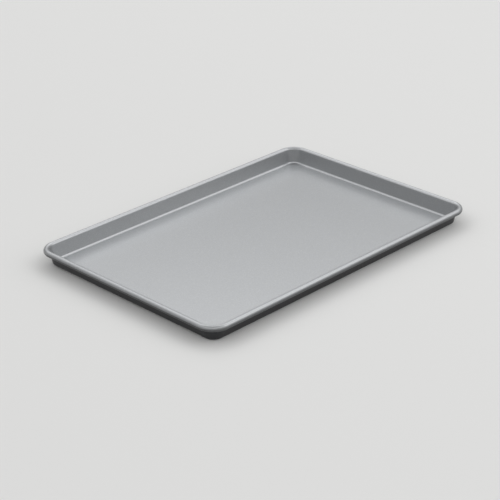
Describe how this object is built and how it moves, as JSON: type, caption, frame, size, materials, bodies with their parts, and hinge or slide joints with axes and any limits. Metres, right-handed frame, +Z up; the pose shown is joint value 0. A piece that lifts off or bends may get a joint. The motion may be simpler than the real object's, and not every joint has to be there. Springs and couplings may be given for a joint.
{
  "type": "jelly roll pan",
  "caption": "Shallow rectangular baking pan with a flat floor, low sloping walls, rounded corners and a rolled rim stiffened by a wire.",
  "frame": {"origin": "under the middle of the floor, on the surface that the pan stands on", "axes": "+X along the long sides, +Y along the short sides, +Z up"},
  "size_m": [0.387, 0.261, 0.019],
  "materials": {
    "nonstick_coating": "semi-gloss metallic grey non-stick coating on pressed steel sheet, near black on the outside of the walls and underneath",
    "galvanised_wire": "plain drawn steel wire with a thin zinc coat"
  },
  "bodies": {
    "root": {"pan_body": "nonstick_coating", "rim_wire": "galvanised_wire"}
  },
  "joints": []
}
